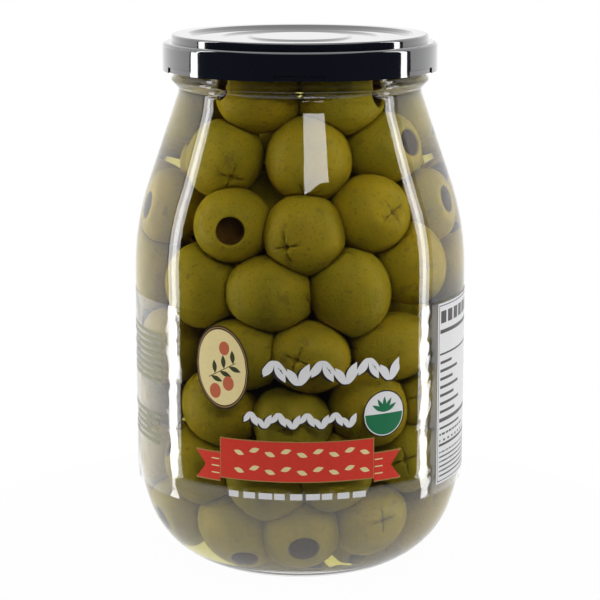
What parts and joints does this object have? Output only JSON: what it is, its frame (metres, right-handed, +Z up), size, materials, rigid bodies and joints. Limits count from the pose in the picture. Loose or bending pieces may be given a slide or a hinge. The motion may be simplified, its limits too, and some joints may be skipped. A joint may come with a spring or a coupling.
{
  "type": "jar of pitted green olives",
  "caption": "Round shouldered glass grocery jar, packed with pitted green olives in brine, shut with a black lug cap and wrapped in a clear printed film label.",
  "frame": {"origin": "centre of the ring that the jar stands on, at its underside", "axes": "+Z up the jar's axis, -Y out through the middle of the label, +X to the right of someone facing the label"},
  "size_m": [0.1044, 0.1044, 0.1652],
  "materials": {
    "glass": "clear, smooth",
    "cap": "gloss black lacquer",
    "olives": "wet yellow-green olives in brine",
    "label": "clear glossy film with opaque print"
  },
  "bodies": {
    "root": {"jar_glass": "glass", "cap": "cap", "olives_in_brine": "olives", "label_film": "label"}
  },
  "joints": []
}
